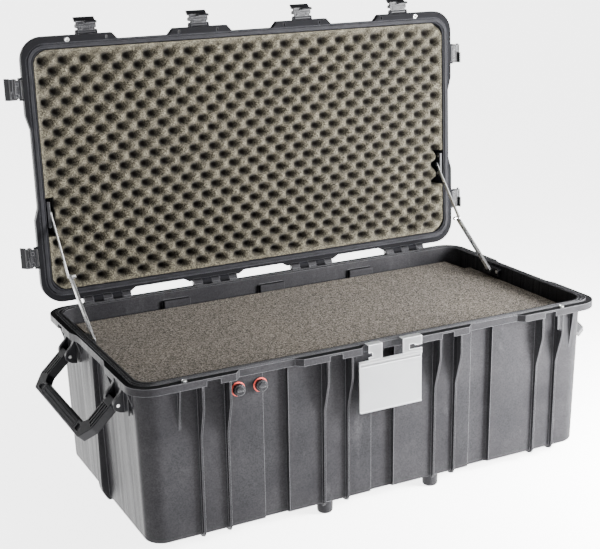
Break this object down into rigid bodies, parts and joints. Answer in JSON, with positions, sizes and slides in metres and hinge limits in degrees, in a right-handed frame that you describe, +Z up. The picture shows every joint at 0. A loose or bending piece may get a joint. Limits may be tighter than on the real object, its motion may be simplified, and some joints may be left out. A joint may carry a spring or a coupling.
{
  "type": "hard equipment case",
  "caption": "Long hard transport case, lid open on folding stays, with foam lining, throw latches, swing-out end handles, pressure valves and a card holder.",
  "frame": {"origin": "on the floor, under the centre of the open case", "axes": "+X along the case, towards its right end; +Y towards the hinge side; +Z up"},
  "size_m": [1.312, 0.7149, 1.0576],
  "materials": {
    "shell": "fine moulded texture, satin",
    "hardware": "smooth moulded, satin",
    "grip_rubber": "soft moulded",
    "gasket": "smooth",
    "base_foam": "open-cell foam, speckled",
    "lid_foam": "convoluted open-cell foam",
    "steel": "bright",
    "red_seal": "smooth",
    "clear_plastic": "clear, slightly milky",
    "card": "blank card"
  },
  "bodies": {
    "base": {"base_shell": "shell", "base_foam": "base_foam", "id_card_holder": "clear_plastic", "id_card": "card", "pressure_valve_1": "hardware", "pressure_valve_2": "hardware", "valve_seal_1": "red_seal", "valve_seal_2": "red_seal", "hinge_pin_1": "steel", "hinge_pin_2": "steel", "hinge_pin_3": "steel", "hinge_pin_4": "steel", "base_eyelet_left": "steel", "stay_base_bracket_left": "hardware", "handle_bracket_left_front": "hardware", "handle_bracket_left_back": "hardware", "handle_pin_left_front": "steel", "handle_pin_left_back": "steel", "base_eyelet_right": "steel", "stay_base_bracket_right": "hardware", "handle_bracket_right_front": "hardware", "handle_bracket_right_back": "hardware", "handle_pin_right_front": "steel", "handle_pin_right_back": "steel"},
    "lid": {"lid_shell": "shell", "lid_gasket": "gasket", "lid_foam": "lid_foam", "lid_eyelet_left": "steel", "stay_lid_bracket_left": "hardware", "lid_eyelet_right": "steel", "stay_lid_bracket_right": "hardware"},
    "stay_lower_left": {"stay_lower_left": "steel"},
    "stay_upper_left": {"stay_upper_left": "steel"},
    "stay_lower_right": {"stay_lower_right": "steel"},
    "stay_upper_right": {"stay_upper_right": "steel"},
    "latch_front_1": {"latch_front_1": "hardware"},
    "latch_lever_front_1": {"latch_lever_front_1": "hardware"},
    "latch_front_2": {"latch_front_2": "hardware"},
    "latch_lever_front_2": {"latch_lever_front_2": "hardware"},
    "latch_front_3": {"latch_front_3": "hardware"},
    "latch_lever_front_3": {"latch_lever_front_3": "hardware"},
    "latch_front_4": {"latch_front_4": "hardware"},
    "latch_lever_front_4": {"latch_lever_front_4": "hardware"},
    "latch_left_1": {"latch_left_1": "hardware"},
    "latch_lever_left_1": {"latch_lever_left_1": "hardware"},
    "latch_left_2": {"latch_left_2": "hardware"},
    "latch_lever_left_2": {"latch_lever_left_2": "hardware"},
    "latch_right_1": {"latch_right_1": "hardware"},
    "latch_lever_right_1": {"latch_lever_right_1": "hardware"},
    "latch_right_2": {"latch_right_2": "hardware"},
    "latch_lever_right_2": {"latch_lever_right_2": "hardware"},
    "handle_left": {"handle_frame_left": "hardware", "handle_grip_left": "grip_rubber"},
    "handle_right": {"handle_frame_right": "hardware", "handle_grip_right": "grip_rubber"}
  },
  "joints": [
    {"name": "lid_hinge", "type": "hinge", "parent": "base", "child": "lid", "pos_m": [0, 0.28, 0.39], "axis": [1, 0, 0], "range_deg": [0, 91.6]},
    {"name": "stay_lower_pivot_left", "type": "hinge", "parent": "base", "child": "stay_lower_left", "pos_m": [-0.5351, 0.038, 0.372], "axis": [1, 0, 0], "range_deg": [-43, 0]},
    {"name": "stay_upper_pivot_left", "type": "hinge", "parent": "lid", "child": "stay_upper_left", "pos_m": [-0.5401, 0.29811, 0.60858], "axis": [1, 0, 0], "range_deg": [0, 21.5]},
    {"name": "stay_lower_pivot_right", "type": "hinge", "parent": "base", "child": "stay_lower_right", "pos_m": [0.5351, 0.038, 0.372], "axis": [1, 0, 0], "range_deg": [-43, 0]},
    {"name": "stay_upper_pivot_right", "type": "hinge", "parent": "lid", "child": "stay_upper_right", "pos_m": [0.5401, 0.29811, 0.60858], "axis": [1, 0, 0], "range_deg": [0, 21.5]},
    {"name": "latch_pivot_front_1", "type": "hinge", "parent": "lid", "child": "latch_front_1", "pos_m": [-0.42, 0.30583, 1.02453], "axis": [1, 0, 0], "range_deg": [0, 90]},
    {"name": "latch_lever_pivot_front_1", "type": "hinge", "parent": "latch_front_1", "child": "latch_lever_front_1", "pos_m": [-0.42, 0.31467, 1.03678], "axis": [1, 0, 0], "range_deg": [-60, 0]},
    {"name": "latch_pivot_front_2", "type": "hinge", "parent": "lid", "child": "latch_front_2", "pos_m": [-0.14, 0.30583, 1.02453], "axis": [1, 0, 0], "range_deg": [0, 90]},
    {"name": "latch_lever_pivot_front_2", "type": "hinge", "parent": "latch_front_2", "child": "latch_lever_front_2", "pos_m": [-0.14, 0.31467, 1.03678], "axis": [1, 0, 0], "range_deg": [-60, 0]},
    {"name": "latch_pivot_front_3", "type": "hinge", "parent": "lid", "child": "latch_front_3", "pos_m": [0.14, 0.30583, 1.02453], "axis": [1, 0, 0], "range_deg": [0, 90]},
    {"name": "latch_lever_pivot_front_3", "type": "hinge", "parent": "latch_front_3", "child": "latch_lever_front_3", "pos_m": [0.14, 0.31467, 1.03678], "axis": [1, 0, 0], "range_deg": [-60, 0]},
    {"name": "latch_pivot_front_4", "type": "hinge", "parent": "lid", "child": "latch_front_4", "pos_m": [0.42, 0.30583, 1.02453], "axis": [1, 0, 0], "range_deg": [0, 90]},
    {"name": "latch_lever_pivot_front_4", "type": "hinge", "parent": "latch_front_4", "child": "latch_lever_front_4", "pos_m": [0.42, 0.31467, 1.03678], "axis": [1, 0, 0], "range_deg": [-60, 0]},
    {"name": "latch_pivot_left_1", "type": "hinge", "parent": "lid", "child": "latch_left_1", "pos_m": [-0.585, 0.30248, 0.90457], "axis": [0, 0.0279, 0.9996], "range_deg": [0, 90]},
    {"name": "latch_lever_pivot_left_1", "type": "hinge", "parent": "latch_left_1", "child": "latch_lever_left_1", "pos_m": [-0.5975, 0.31097, 0.90434], "axis": [0, 0.0279, 0.9996], "range_deg": [-60, 0]},
    {"name": "latch_pivot_left_2", "type": "hinge", "parent": "lid", "child": "latch_left_2", "pos_m": [-0.585, 0.29142, 0.50873], "axis": [0, 0.0279, 0.9996], "range_deg": [0, 90]},
    {"name": "latch_lever_pivot_left_2", "type": "hinge", "parent": "latch_left_2", "child": "latch_lever_left_2", "pos_m": [-0.5975, 0.29992, 0.50849], "axis": [0, 0.0279, 0.9996], "range_deg": [-60, 0]},
    {"name": "latch_pivot_right_1", "type": "hinge", "parent": "lid", "child": "latch_right_1", "pos_m": [0.585, 0.30248, 0.90457], "axis": [0, -0.0279, -0.9996], "range_deg": [0, 90]},
    {"name": "latch_lever_pivot_right_1", "type": "hinge", "parent": "latch_right_1", "child": "latch_lever_right_1", "pos_m": [0.5975, 0.31097, 0.90434], "axis": [0, -0.0279, -0.9996], "range_deg": [-60, 0]},
    {"name": "latch_pivot_right_2", "type": "hinge", "parent": "lid", "child": "latch_right_2", "pos_m": [0.585, 0.29142, 0.50873], "axis": [0, -0.0279, -0.9996], "range_deg": [0, 90]},
    {"name": "latch_lever_pivot_right_2", "type": "hinge", "parent": "latch_right_2", "child": "latch_lever_right_2", "pos_m": [0.5975, 0.29992, 0.50849], "axis": [0, -0.0279, -0.9996], "range_deg": [-60, 0]},
    {"name": "handle_swing_left", "type": "hinge", "parent": "base", "child": "handle_left", "pos_m": [-0.575, -0.037, 0.318], "axis": [0, 1, 0], "range_deg": [-41, 49]},
    {"name": "handle_swing_right", "type": "hinge", "parent": "base", "child": "handle_right", "pos_m": [0.575, -0.037, 0.318], "axis": [0, -1, 0], "range_deg": [-41, 49]}
  ],
  "couplings": [
    {"joint": "stay_lower_pivot_left", "follows": "lid_hinge", "ratio": -0.46702},
    {"joint": "stay_upper_pivot_left", "follows": "lid_hinge", "ratio": 0.23064},
    {"joint": "stay_lower_pivot_right", "follows": "lid_hinge", "ratio": -0.46702},
    {"joint": "stay_upper_pivot_right", "follows": "lid_hinge", "ratio": 0.23064}
  ]
}
